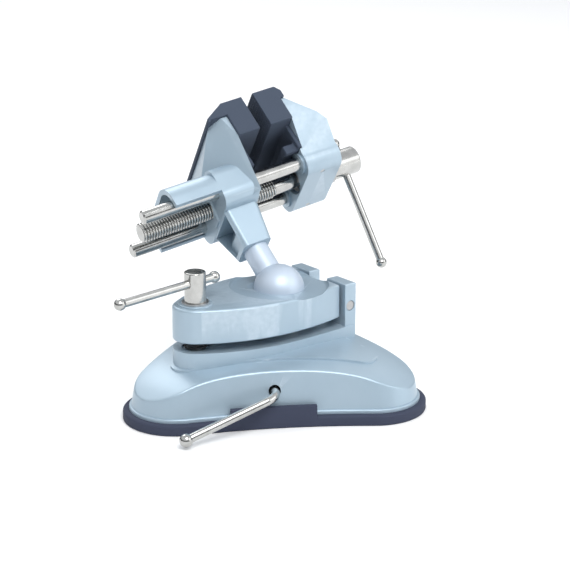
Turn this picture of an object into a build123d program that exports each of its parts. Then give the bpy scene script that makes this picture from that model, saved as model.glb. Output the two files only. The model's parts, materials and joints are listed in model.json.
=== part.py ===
"""Suction-base table vise with a ball-joint head.

Millimetres, +Z up. The origin is on the table plane at the centre of the base. +X runs along the clamp
plate, from the clamp screw to the hinge lugs. The head has its own frame, centred on the ball:
U along the lead screw, W across the jaws towards the lever side, N from the ball up through the head.
"""

from build123d import *
from math import cos, radians, sin, sqrt
import os

# ---------------------------------------------------------------- driving dimensions: base
CORNER_REACH = 63.4  # base centre to each corner's centre
PAD_CORNER_R = 30.0  # corner radius of the rubber
SHELL_CORNER_R = 26.5  # corner radius of the shell's rim
SIDE_BOW = 4.0  # how far each side bows inwards
PAD_T = 6.0
RIM_T = 2.2  # small bead round the foot of the shell
WALL_T = 3.5
DOME_TOP = 32.4
DOME_PROFILE = [(30, 31.9), (50, 30.0), (72, 24.6), (88, 15.5), (96, 8.0)]
TERRACE_REACH = 54.0
TERRACE_CORNER_R = 11.0
TERRACE_RISE = 1.3

# ---------------------------------------------------------------- driving dimensions: ball clamp
BALL_X = 8.0
BALL_Z = 60.0
BALL_R = 14.5
STEM_R = 7.5
SOCKET_GAP = 0.10
PEDESTAL_TOP = 38.2
PLATE_BOTTOM = 43.5
PLATE_TOP = 62.8
CLAMP_X = -50.0
NOSE_R = 12.8  # round end of the plate under the clamp screw
WIDEST_X = -3.0
WIDEST_HALF = 27.4
PLATE_END_X = 35.0
PLATE_END_HALF = 22.0
LUG_X = (36.5, 44.2)
LUG_Y = (8.0, 24.7)
LUG_TOP = 63.2
PIN_X = 40.35
PIN_Z = 50.0
PIN_R = 3.0
TONGUE_R = 5.4
TONGUE_HALF = 7.7
DISH_R = 28.5
RIM_ABOVE_CENTRE = 0.9

SHANK_R = 4.0
CLAMP_HEAD_R = 6.0
CLAMP_HEAD_H = 17.0
CLAMP_WASHER_T = 0.8
CLAMP_BOSS_H = 0.8
CLAMP_BAR_YAW = 7.9
CLAMP_BAR_ENDS = (-54.0, 14.5)  # ball centres, measured from the screw's axis

BAR_R = 2.35
BAR_BALL_R = 3.3
BAR_GAP = 0.10

# ---------------------------------------------------------------- driving dimensions: lock lever
LEVER_SHIFT = -3.0  # sideways offset of the lever's shaft along the front side
LEVER_Z = 19.4
LEVER_R = 2.4
LEVER_BEND_AT = 60.0
LEVER_BEND_R = 9.0
LEVER_HANDLE = (-51.0, -14.6, 19.0)  # along the side, up, outwards
LEVER_BALL_R = 3.7
CAM_R = 6.0
CAM_THROW = 2.0
STUD_LIFT_PLAY = 0.55

# ---------------------------------------------------------------- driving dimensions: head
HEAD_YAW = -7.2
HEAD_PITCH = 10.2
HEAD_ROLL = 47.9
SCREW_N = 62.0
ROD_W = 18.0
ROD_R = 4.0
ROD_GAP = 0.05
ROD_START = -60.0
ROD_END = 62.0
THREAD_R = 5.9
SCREW_START = -57.6
NECK_START = 30.0
NECK_R = 4.75
SCREW_HEAD = (69.8, 88.6)
SCREW_HEAD_R = 8.2
SCREW_BAR_U = 79.6
SCREW_BAR_SLANT = 20.7  # lean of the hanging bar from -N towards -W, degrees
SCREW_BAR_ENDS = (-12.2, 64.0)

JAW_HALF = 35.5
JAW_TOP_N = 97.0
FIXED_FACE_U = 10.0
PLATE_BACK_U = -12.0
BODY_BOTTOM_N = 50.0
HOOD_BACK_U = -41.0
HOOD_HALF = 25.6
HOOD_TOP_N = 76.0
HOOD_WALL = 3.1
HOOD_SKIRT_N = 58.5
BOSS_BOTTOM_N = 28.0
BOSS_BOTTOM_HALF = 9.5
BOSS_TOP_HALF = 16.0

MOVING_FACE_U = 46.0
MOVING_FOOT_U = 44.5
MOVING_BACK_U = 67.7
FIXED_BLOCK_T = 14.0
MOVING_BLOCK_T = 15.0
FIXED_FOOT_T = 4.5
MOVING_FOOT_T = 10.0
PAD_BLOCK_HALF = 37.5
PAD_SHEET_T = 2.6
PAD_TOP_N = 105.4
PAD_BLOCK_LOW_N = 82.0
PAD_FOOT_N = (66.6, 72.0)
PAD_FOOT_HALF = 26.0

# ---------------------------------------------------------------- smaller sizes: base and clamp
RUN_GAP = 0.05
RIM_W = 0.9
WALL_LEAN = 6.5
TERRACE_BOW = 2.0
TAB_ALONG = (-28.0, 19.4)
TAB_TOP = 12.3
PAD_SKIN = 3.5
SADDLE_GAP = 6.2
SADDLE_T = 4.0
SADDLE_W = 26.0
SADDLE_LOW_Z = 13.2
SHAFT_START = -13.5
CLIP_BORE_R = 1.9
YOKE_W = 22.0
YOKE_T = 8.0
YOKE_LOW_Z = 9.0
YOKE_TOP_Z = 25.8
STUD_POCKET_Z = 31.2
STUD_FLANGE_R = 16.0
LEVER_EXIT_R = 3.4
SCREW_BOSS_Z = 20.0
SCREW_BOSS_R = 9.0
SPRING_POCKET_R = 8.0
SPRING_SINK = 1.0
SPRING_R = 6.0
SPRING_WIRE_R = 0.6
SPRING_TURNS = 3.5
SEAT_R = 13.4
SEAT_BORE_R = 8.2
SEAT_TOP = 50.4
SEAT_SINK = 1.4
CLAMP_BOSS_R = 9.5
CLAMP_WASHER_R = 7.6
CLAMP_BAR_UP = 10.6
RELIEF_FROM = 40.0  # where the stem's relief starts, in degrees from +X
RELIEF_SWEEP = 110.0
RELIEF_PROFILE = [(10.0, -3.0), (14.0, -2.0), (24.0, 3.2), (10.0, 3.2)]  # out from the ball, above its middle

# ---------------------------------------------------------------- smaller sizes: head
SPIGOT_R = 6.0
SPIGOT_TOP_N = 38.0
GUSSET = [(10.0, 35.5, 83.0), (10.0, 27.6, 56.0), (-13.0, 10.0, 75.0)]
JAW_BACK_TOP_U = -1.0
JAW_BACK_FOOT = (-13.0, 75.5)
BODY_CORNER_R = 8.0
HOOD_CORNER_R = 13.1
BOSS_BOTTOM_U = -0.5
BOSS_BOTTOM_DEEP = 9.0
BOSS_WALL = 3.0
BOSS_POCKET = [(-22.0, 30.5), (-7.9, 30.5), (-7.6, 39.5), (0.0, 49.0), (-22.0, 49.0)]
GRUB_N = 33.0
GRUB_R = 2.5
GRUB_OUTER_W = 10.6
PAD_SHEET_HALF = 29.0
PAD_NOTCH_R = 6.6
FIXED_CAP = [(-2.4, 98.4), (-2.9, 96.0), (-1.9, 95.4), (-1.0, 97.0)]
MOVING_CAP = [(48.8, 101.6), (48.8, 97.0)]
MOVING_STEP_N = 66.2
MOVING_TOP_U = 48.8
MOVING_SLOPE_N = 76.5
MOVING_HALF = 26.5
MOVING_CORNER_R = 8.5
MOVING_SHOULDER_N = (64.0, 82.0)
ROD_COLLAR_R = 6.2
ROD_PIN_U = 55.0
ROD_PIN_R = 1.5
ROD_PIN_TOP_N = 68.0
RING_U = (46.1, 47.1)
RING_R = 7.2
RING_BORE_R = 4.0
RING_POCKET_R = 8.6
RING_POCKET_T = 3.0

os.makedirs("parts", exist_ok=True)


# ---------------------------------------------------------------- shared geometry
def turned(x, y, degrees):
    """The point (x, y) turned about the origin."""
    a = radians(degrees)
    return (x * cos(a) - y * sin(a), x * sin(a) + y * cos(a))


def three_cornered(reach, corner_r, bow):
    """Outline of a rounded triangle with one corner on -X and sides that bow slightly inwards."""
    half_side = reach * sqrt(3) / 2
    flat = reach / 2 + corner_r - bow
    # the side arc touches both corner arcs and comes within flat of the centre
    lift = (half_side**2 - bow**2) / (2 * bow)
    share = corner_r / (reach / 2 + lift - flat + corner_r)
    touch = (reach / 2 + lift * share, half_side * (1 - share))
    with BuildSketch(mode=Mode.PRIVATE) as outline:
        with BuildLine():
            for side in (0, 120, 240):
                low = turned(touch[0], -touch[1], side)
                high = turned(touch[0], touch[1], side)
                after = turned(touch[0], -touch[1], side + 120)
                ThreePointArc(low, turned(flat, 0, side), high)
                ThreePointArc(high, turned(reach + corner_r, 0, side + 60), after)
        make_face()
    return outline.sketch


def clamp_outline(end_x, end_half, inset=0.0):
    """Half-teardrop outline that the clamp plate and the pedestal share, mirrored about the X axis."""
    nose_r = NOSE_R - inset
    top = WIDEST_HALF - inset
    run = WIDEST_X - CLAMP_X
    drop = (run**2 - (top - nose_r) ** 2) / (2 * (top - nose_r))
    flank_r = top + drop
    aim = Vector(CLAMP_X - WIDEST_X, drop).normalized()
    touch = (CLAMP_X + nose_r * aim.X, nose_r * aim.Y)
    middle = Vector((touch[0] + WIDEST_X) / 2, 0)
    middle_y = sqrt(flank_r**2 - (middle.X - WIDEST_X) ** 2) - drop
    with BuildSketch(mode=Mode.PRIVATE) as outline:
        with BuildLine():
            ThreePointArc((touch[0], -touch[1]), (CLAMP_X - nose_r, 0), touch)
            for side in (1, -1):
                widest = (WIDEST_X, side * top)
                end = (end_x - inset, side * (end_half - inset))
                ThreePointArc((touch[0], side * touch[1]), (middle.X, side * middle_y), widest)
                TangentArc(widest, end, tangent=(1, 0))
            Line((end_x - inset, end_half - inset), (end_x - inset, inset - end_half))
        make_face()
    return outline.sketch


def dome(rise):
    """Solid under the base's domed roof, lifted by rise."""
    with BuildPart(mode=Mode.PRIVATE) as body:
        with BuildSketch(Plane.XZ):
            with BuildLine():
                crown = (0, DOME_TOP + rise)
                Spline(crown, *[(r, z + rise) for r, z in DOME_PROFILE], tangents=[(1, 0), (0.6, -1)])
                last = (DOME_PROFILE[-1][0], DOME_PROFILE[-1][1] + rise)
                Polyline(last, (last[0], 0), (0, 0), crown)
            make_face()
        revolve(axis=Axis.Z)
    return body.part


# the front side of the base, where the lever comes out
FRONT = Vector(cos(radians(-120)), sin(radians(-120)), 0)
ALONG = Vector(cos(radians(-30)), sin(radians(-30)), 0)
SHAFT_FOOT = ALONG * LEVER_SHIFT
LEVER_PLANE = Plane(origin=SHAFT_FOOT + Vector(0, 0, LEVER_Z), x_dir=ALONG, z_dir=FRONT)
STUD_PLANE = Plane(origin=SHAFT_FOOT, x_dir=ALONG, z_dir=(0, 0, 1))

# the head's frame
BALL = Vector(BALL_X, 0, BALL_Z)
U_AXIS = Vector(
    cos(radians(HEAD_PITCH)) * cos(radians(HEAD_YAW)),
    cos(radians(HEAD_PITCH)) * sin(radians(HEAD_YAW)),
    sin(radians(HEAD_PITCH)),
)
UPRIGHT = (Vector(0, 0, 1) - U_AXIS * U_AXIS.Z).normalized()
SIDEWAYS = UPRIGHT.cross(U_AXIS)
N_AXIS = UPRIGHT * cos(radians(HEAD_ROLL)) + SIDEWAYS * sin(radians(HEAD_ROLL))
W_AXIS = U_AXIS.cross(N_AXIS)


def head_point(u, w, n):
    """A point of the head's frame, in the vise's frame."""
    return BALL + U_AXIS * u + W_AXIS * w + N_AXIS * n


def side_view(w=0.0):
    """Plane whose sketch axes are U and N, facing +W."""
    return Plane(origin=head_point(0, w, 0), x_dir=U_AXIS, z_dir=W_AXIS)


def end_view(u=0.0):
    """Plane whose sketch axes are -W and N, facing +U."""
    return Plane(origin=head_point(u, 0, 0), x_dir=-W_AXIS, z_dir=U_AXIS)


def plan_view(n=0.0):
    """Plane whose sketch axes are U and -W, facing +N."""
    return Plane(origin=head_point(0, 0, n), x_dir=U_AXIS, z_dir=N_AXIS)


# ---------------------------------------------------------------- base
def drafted_block(inset, bottom):
    """The base's three-cornered block, set in by inset, with walls that lean inwards as they rise."""
    with BuildPart(mode=Mode.PRIVATE) as block:
        with BuildSketch(Plane.XY.offset(bottom)):
            add(three_cornered(CORNER_REACH, SHELL_CORNER_R - RIM_W - inset, SIDE_BOW))
        with BuildSketch(Plane.XY.offset(DOME_TOP + 4)):
            add(three_cornered(CORNER_REACH, SHELL_CORNER_R - WALL_LEAN - inset, SIDE_BOW))
        loft(ruled=True)
    return block.part


with BuildPart() as base_shell:
    # rim bead and drafted wall, cut off by the dome
    with BuildSketch(Plane.XY.offset(PAD_T)):
        add(three_cornered(CORNER_REACH, SHELL_CORNER_R, SIDE_BOW))
    extrude(amount=RIM_T)
    fillet(base_shell.edges().group_by(Axis.Z)[-1], 0.8)
    add(drafted_block(0, PAD_T))
    add(dome(0), mode=Mode.INTERSECT)
    arch_edges = base_shell.edges().filter_by(lambda e: e.center().Z > 13 and e.length > 20)
    fillet(arch_edges, 1.6)
    # low terrace that follows the base's shape round the pedestal
    with BuildSketch(Plane.XY.offset(DOME_TOP - 14)):
        add(three_cornered(TERRACE_REACH, TERRACE_CORNER_R, TERRACE_BOW))
    add(extrude(amount=16, mode=Mode.PRIVATE) & dome(TERRACE_RISE))
    # pedestal, with a flared foot
    with BuildSketch(Plane.XY.offset(20)):
        add(clamp_outline(LUG_X[1], LUG_Y[1]))
    extrude(amount=PEDESTAL_TOP - 20)
    # hollow underneath
    add(drafted_block(WALL_T, PAD_T) & dome(-WALL_T), mode=Mode.SUBTRACT)
    # two ears that carry the hinge pin
    for side in (-1, 1):
        with BuildSketch(Plane.XY.offset(PEDESTAL_TOP - 2)):
            with Locations(((LUG_X[0] + LUG_X[1]) / 2, side * (LUG_Y[0] + LUG_Y[1]) / 2)):
                Rectangle(LUG_X[1] - LUG_X[0], LUG_Y[1] - LUG_Y[0])
        extrude(amount=LUG_TOP - PEDESTAL_TOP + 2)
    fillet(base_shell.edges().filter_by(lambda e: e.center().Z > LUG_TOP - 1), 0.8)
    # boss under the clamp screw, and two walls that carry the lever's shaft
    with BuildSketch(Plane.XY.offset(SCREW_BOSS_Z)):
        with Locations((CLAMP_X, 0)):
            Circle(SCREW_BOSS_R)
    extrude(amount=PEDESTAL_TOP - 8 - SCREW_BOSS_Z)
    for inner in (SADDLE_GAP, -SADDLE_GAP - SADDLE_T):
        with BuildSketch(LEVER_PLANE.offset(inner)):
            with Locations((0, (SADDLE_LOW_Z + DOME_TOP - 2) / 2 - LEVER_Z)):
                Rectangle(SADDLE_W, DOME_TOP - 2 - SADDLE_LOW_Z)
        extrude(amount=SADDLE_T)
    # pocket that the pull stud rises into
    with BuildSketch(STUD_PLANE.offset(SADDLE_LOW_Z)):
        Rectangle(YOKE_W + 1, 2 * SADDLE_GAP)
    extrude(amount=STUD_POCKET_Z - SADDLE_LOW_Z, mode=Mode.SUBTRACT)
    # bores: lever shaft, its way out of the front wall, clamp screw, hinge pin
    with BuildSketch(LEVER_PLANE.offset(-SADDLE_GAP - SADDLE_T - 1)):
        Circle(LEVER_R + BAR_GAP)
    extrude(amount=2 * (SADDLE_GAP + SADDLE_T + 1), mode=Mode.SUBTRACT)
    with BuildSketch(LEVER_PLANE.offset(LEVER_BEND_AT - 20)):
        Circle(LEVER_EXIT_R)
    extrude(amount=20, mode=Mode.SUBTRACT)
    with BuildSketch(Plane.XY.offset(SCREW_BOSS_Z - 1)):
        with Locations((CLAMP_X, 0)):
            Circle(SHANK_R + RUN_GAP)
    extrude(amount=PEDESTAL_TOP - SCREW_BOSS_Z + 2, mode=Mode.SUBTRACT)
    with BuildSketch(Plane.XY.offset(PEDESTAL_TOP - SPRING_SINK)):
        with Locations((CLAMP_X, 0)):
            Circle(SPRING_POCKET_R)
    extrude(amount=SPRING_SINK + 1, mode=Mode.SUBTRACT)
    with BuildSketch(Plane.XY.offset(PEDESTAL_TOP - SEAT_SINK)):
        with Locations((BALL_X, 0)):
            Circle(SEAT_R + RUN_GAP)
    extrude(amount=SEAT_SINK + 1, mode=Mode.SUBTRACT)
    with BuildSketch(Plane.XZ.offset(-LUG_Y[1] - 1)):
        with Locations((PIN_X, PIN_Z)):
            Circle(PIN_R)
    extrude(amount=2 * LUG_Y[1] + 2, mode=Mode.SUBTRACT)

with BuildPart() as tab_band:
    # ring between the rubber's edge and the shell's wall
    with BuildSketch(Plane.XY.offset(PAD_T - 2)):
        add(three_cornered(CORNER_REACH, PAD_CORNER_R, SIDE_BOW))
        add(three_cornered(CORNER_REACH, SHELL_CORNER_R + 0.3, SIDE_BOW), mode=Mode.SUBTRACT)
    extrude(amount=TAB_TOP - PAD_T + 2)
    with BuildSketch(STUD_PLANE):
        with Locations(((TAB_ALONG[0] + TAB_ALONG[1]) / 2 - LEVER_SHIFT, -CORNER_REACH)):
            Rectangle(TAB_ALONG[1] - TAB_ALONG[0], 40)
    extrude(amount=TAB_TOP + 1, mode=Mode.INTERSECT)

with BuildPart() as suction_pad:
    with BuildSketch():
        add(three_cornered(CORNER_REACH, PAD_CORNER_R, SIDE_BOW))
    extrude(amount=PAD_T)
    fillet(suction_pad.edges().group_by(Axis.Z)[-1], 1.5)
    fillet(suction_pad.edges().group_by(Axis.Z)[0], 0.8)
    add(tab_band.part)
    # thin middle, which the pull stud lifts
    with BuildSketch(Plane.XY.offset(PAD_SKIN)):
        add(three_cornered(CORNER_REACH, SHELL_CORNER_R - 6, SIDE_BOW))
    extrude(amount=PAD_T, mode=Mode.SUBTRACT)

# ---------------------------------------------------------------- lock lever and pull stud
with BuildPart() as pull_stud:
    with BuildSketch(STUD_PLANE.offset(PAD_SKIN + 0.1)):
        Circle(STUD_FLANGE_R)
    extrude(amount=2.0)
    with BuildSketch(STUD_PLANE.offset(PAD_SKIN + 2.1)):
        Circle(SADDLE_GAP - 0.3)
    extrude(amount=YOKE_LOW_Z - PAD_SKIN - 2.1)
    with BuildSketch(STUD_PLANE.offset(YOKE_LOW_Z)):
        RectangleRounded(YOKE_W, YOKE_T, 1.5)
    extrude(amount=YOKE_TOP_Z - YOKE_LOW_Z)
    with BuildSketch(LEVER_PLANE.offset(-YOKE_T)):
        with Locations((0, -CAM_THROW)):
            RectangleRounded(
                2 * (CAM_R + CAM_THROW + 0.2), 2 * (CAM_R + STUD_LIFT_PLAY), CAM_R * 0.6
            )
    extrude(amount=2 * YOKE_T, mode=Mode.SUBTRACT)

HANDLE_END = (LEVER_HANDLE[0], LEVER_HANDLE[1], LEVER_BEND_AT + LEVER_HANDLE[2])
HANDLE_TIP = LEVER_PLANE.from_local_coords(Vector(*HANDLE_END))
HANDLE_RUN = HANDLE_TIP - LEVER_PLANE.from_local_coords(Vector(0, 0, LEVER_BEND_AT))

with BuildPart() as lock_lever:
    with BuildLine(LEVER_PLANE) as lever_path:
        FilletPolyline((0, 0, SHAFT_START), (0, 0, LEVER_BEND_AT), HANDLE_END, radius=LEVER_BEND_R)
    with BuildSketch(LEVER_PLANE.offset(SHAFT_START)):
        Circle(LEVER_R)
    sweep(path=lever_path.line)
    # groove for the clip
    with BuildSketch(LEVER_PLANE.offset(-SADDLE_GAP - SADDLE_T - 1.3)):
        Circle(LEVER_R + 1)
        Circle(CLIP_BORE_R, mode=Mode.SUBTRACT)
    extrude(amount=0.9, mode=Mode.SUBTRACT)

with BuildPart() as lever_cam:
    with BuildSketch(LEVER_PLANE.offset(-YOKE_T / 2)):
        with Locations((0, -CAM_THROW)):
            Circle(CAM_R)
        Circle(LEVER_R, mode=Mode.SUBTRACT)
    extrude(amount=YOKE_T)

with BuildPart() as lever_clip:
    with BuildSketch(LEVER_PLANE.offset(-SADDLE_GAP - SADDLE_T - 1.25)):
        Circle(LEVER_R + 2.0)
        Circle(CLIP_BORE_R, mode=Mode.SUBTRACT)
        with Locations((0, -LEVER_R)):
            Rectangle(2 * CLIP_BORE_R - 0.8, 2 * LEVER_R, mode=Mode.SUBTRACT)
    extrude(amount=0.8)

with BuildPart() as lever_ball:
    with Locations(Location(Plane(origin=HANDLE_TIP, z_dir=-HANDLE_RUN))):
        Sphere(LEVER_BALL_R)
    with BuildSketch(Plane(origin=HANDLE_TIP, z_dir=-HANDLE_RUN)):
        Circle(LEVER_R)
    extrude(amount=LEVER_BALL_R + 1, mode=Mode.SUBTRACT)

# ---------------------------------------------------------------- ball clamp
relief_out = Vector(*turned(1, 0, RELIEF_FROM), 0)

with BuildPart() as clamp_plate:
    with BuildSketch(Plane.XY.offset(PLATE_BOTTOM)):
        add(clamp_outline(PLATE_END_X, PLATE_END_HALF))
    extrude(amount=PLATE_TOP - PLATE_BOTTOM)
    fillet(clamp_plate.edges().filter_by(Axis.Z), 2.0)
    fillet(clamp_plate.edges().group_by(Axis.Z)[-1], 1.5)
    fillet(clamp_plate.edges().group_by(Axis.Z)[0], 0.8)
    with BuildSketch(Plane.XY.offset(PLATE_TOP)):
        with Locations((CLAMP_X, 0)):
            Circle(CLAMP_BOSS_R)
    extrude(amount=CLAMP_BOSS_H)
    fillet(clamp_plate.edges().group_by(Axis.Z)[-1], 0.5)
    # tongue between the ears
    with BuildSketch(Plane.XZ.offset(-TONGUE_HALF)):
        with Locations((PIN_X, PIN_Z)):
            Circle(TONGUE_R)
        with Locations(((PIN_X + PLATE_END_X) / 2 - 1, PIN_Z)):
            Rectangle(PIN_X - PLATE_END_X + 2, 2 * TONGUE_R)
    extrude(amount=2 * TONGUE_HALF)
    with BuildSketch(Plane.XZ.offset(-TONGUE_HALF - 1)):
        with Locations((PIN_X, PIN_Z)):
            Circle(PIN_R + RUN_GAP)
    extrude(amount=2 * TONGUE_HALF + 2, mode=Mode.SUBTRACT)
    # socket: round above the ball's middle, straight below it
    with Locations(BALL):
        Sphere(BALL_R + SOCKET_GAP, mode=Mode.SUBTRACT)
    with BuildSketch(Plane.XY.offset(PLATE_BOTTOM - 1)):
        with Locations((BALL_X, 0)):
            Circle(BALL_R + 0.35)
    extrude(amount=BALL_Z - PLATE_BOTTOM + 1, mode=Mode.SUBTRACT)
    # shallow dish round the ball, then a deeper relief that lets the stem lean back
    with BuildSketch(Plane.XZ):
        with BuildLine():
            rim = (BALL_X, BALL_Z + RIM_ABOVE_CENTRE)
            edge = (BALL_X + DISH_R, PLATE_TOP + 0.01)
            Line(rim, (BALL_X + DISH_R - 2.2, rim[1]))
            TangentArc((BALL_X + DISH_R - 2.2, rim[1]), edge, tangent=(1, 0))
            Polyline(edge, (edge[0], PLATE_TOP + 5), (BALL_X, PLATE_TOP + 5), rim)
        make_face()
    revolve(axis=Axis((BALL_X, 0, 0), (0, 0, 1)), mode=Mode.SUBTRACT)
    with BuildSketch(Plane(origin=BALL, x_dir=relief_out, z_dir=relief_out.cross(Vector(0, 0, 1)))):
        with BuildLine():
            Polyline(*RELIEF_PROFILE, close=True)
        make_face()
    revolve(
        axis=Axis((BALL_X, 0, 0), (0, 0, 1)), revolution_arc=RELIEF_SWEEP, mode=Mode.SUBTRACT
    )
    # clearance for the clamp screw, and a pocket for its spring
    with BuildSketch(Plane.XY.offset(PLATE_BOTTOM - 1)):
        with Locations((CLAMP_X, 0)):
            Circle(SHANK_R + 0.6)
    extrude(amount=PLATE_TOP - PLATE_BOTTOM + 5, mode=Mode.SUBTRACT)
    with BuildSketch(Plane.XY.offset(PLATE_BOTTOM - 1)):
        with Locations((CLAMP_X, 0)):
            Circle(SPRING_POCKET_R)
    extrude(amount=1 + SPRING_SINK, mode=Mode.SUBTRACT)

with BuildPart() as hinge_pin:
    with BuildSketch(Plane.XZ.offset(-LUG_Y[1] + 0.3)):
        with Locations((PIN_X, PIN_Z)):
            Circle(PIN_R)
    extrude(amount=2 * LUG_Y[1] - 0.6)
    chamfer(hinge_pin.edges().filter_by(GeomType.CIRCLE), 0.4)

SPRING_LOW = PEDESTAL_TOP - SPRING_SINK + SPRING_WIRE_R + 0.05
SPRING_HIGH = PLATE_BOTTOM + SPRING_SINK - SPRING_WIRE_R - 0.1
SPRING_PITCH = (SPRING_HIGH - SPRING_LOW) / SPRING_TURNS

with BuildPart() as clamp_spring:
    with BuildLine() as spring_path:
        Helix(SPRING_PITCH, SPRING_HIGH - SPRING_LOW, SPRING_R, center=(CLAMP_X, 0, SPRING_LOW))
    with BuildSketch(Plane(origin=spring_path.line @ 0, z_dir=spring_path.line % 0)):
        Circle(SPRING_WIRE_R)
    sweep(path=spring_path.line, is_frenet=True)

CLAMP_BOSS_TOP = PLATE_TOP + CLAMP_BOSS_H
CLAMP_HEAD_Z = CLAMP_BOSS_TOP + CLAMP_WASHER_T + 0.1
CLAMP_BAR_Z = CLAMP_HEAD_Z + CLAMP_BAR_UP
CLAMP_BAR_PLANE = Plane(
    origin=(CLAMP_X, 0, CLAMP_BAR_Z),
    z_dir=(cos(radians(CLAMP_BAR_YAW)), sin(radians(CLAMP_BAR_YAW)), 0),
)

with BuildPart() as clamp_washer:
    with BuildSketch(Plane.XY.offset(CLAMP_BOSS_TOP + 0.05)):
        with Locations((CLAMP_X, 0)):
            Circle(CLAMP_WASHER_R)
            Circle(SHANK_R + RUN_GAP, mode=Mode.SUBTRACT)
    extrude(amount=CLAMP_WASHER_T)

with BuildPart() as clamp_screw:
    with BuildSketch(Plane.XY.offset(SCREW_BOSS_Z + 2)):
        with Locations((CLAMP_X, 0)):
            Circle(SHANK_R)
    extrude(amount=CLAMP_HEAD_Z - SCREW_BOSS_Z - 1)
    chamfer(clamp_screw.edges().group_by(Axis.Z)[0], 0.8)
    with BuildSketch(Plane.XY.offset(CLAMP_HEAD_Z)):
        with Locations((CLAMP_X, 0)):
            Circle(CLAMP_HEAD_R)
    extrude(amount=CLAMP_HEAD_H)
    fillet(clamp_screw.edges().group_by(Axis.Z)[-1], 0.8)
    with BuildSketch(CLAMP_BAR_PLANE.offset(-CLAMP_HEAD_R - 1)):
        Circle(BAR_R + BAR_GAP)
    extrude(amount=2 * CLAMP_HEAD_R + 2, mode=Mode.SUBTRACT)

with BuildPart() as clamp_bar:
    with BuildSketch(CLAMP_BAR_PLANE.offset(CLAMP_BAR_ENDS[0])):
        Circle(BAR_R)
    extrude(amount=CLAMP_BAR_ENDS[1] - CLAMP_BAR_ENDS[0])

with BuildPart() as clamp_bar_balls:
    for reach, inwards in zip(CLAMP_BAR_ENDS, (1, -1)):
        with Locations(CLAMP_BAR_PLANE.offset(reach).origin):
            Sphere(BAR_BALL_R)
        with BuildSketch(CLAMP_BAR_PLANE.offset(reach)):
            Circle(BAR_R)
        extrude(amount=inwards * (BAR_BALL_R + 1), mode=Mode.SUBTRACT)

with BuildPart() as seat_ring:
    with BuildSketch(Plane.XY.offset(PEDESTAL_TOP - SEAT_SINK + 0.05)):
        with Locations((BALL_X, 0)):
            Circle(SEAT_R)
            Circle(SEAT_BORE_R, mode=Mode.SUBTRACT)
    extrude(amount=SEAT_TOP - PEDESTAL_TOP + SEAT_SINK)
    with Locations(BALL):
        Sphere(BALL_R + RUN_GAP, mode=Mode.SUBTRACT)

with BuildPart() as ball_stem:
    with Locations(BALL):
        Sphere(BALL_R)
    with BuildSketch(plan_view()):
        Circle(STEM_R)
    extrude(amount=BOSS_BOTTOM_N - 0.05)
    with BuildSketch(plan_view()):
        Circle(SPIGOT_R)
    extrude(amount=SPIGOT_TOP_N)

# ---------------------------------------------------------------- head: fixed jaw
def hood_outline(half, top, corner):
    """Upright arch of the hood in the end view, open at the skirt."""
    with BuildSketch(mode=Mode.PRIVATE) as arch:
        with BuildLine():
            FilletPolyline(
                (-half, HOOD_SKIRT_N), (-half, top), (half, top), (half, HOOD_SKIRT_N), radius=corner
            )
            Line((half, HOOD_SKIRT_N), (-half, HOOD_SKIRT_N))
        make_face()
    return arch.sketch


def rod_bores(start, end, gap):
    """Bores for the two guide rods between two U positions."""
    with BuildPart(mode=Mode.PRIVATE) as bores:
        with BuildSketch(end_view(start)):
            with Locations((-ROD_W, SCREW_N), (ROD_W, SCREW_N)):
                Circle(ROD_R + gap)
        extrude(amount=end - start)
    return bores.part


with BuildPart() as boss_pocket:
    # open at the back, between two side walls
    with BuildSketch(side_view()):
        Polygon(*BOSS_POCKET, align=None)
    extrude(amount=BOSS_TOP_HALF, both=True)
    with BuildSketch(end_view(PLATE_BACK_U - 8)):
        with BuildLine():
            low, high = BOSS_BOTTOM_HALF - BOSS_WALL, BOSS_TOP_HALF - BOSS_WALL
            Polyline(
                (-low, BOSS_BOTTOM_N), (low, BOSS_BOTTOM_N), (high, BODY_BOTTOM_N),
                (-high, BODY_BOTTOM_N), close=True,
            )
        make_face()
    extrude(amount=40, mode=Mode.INTERSECT)

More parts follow.
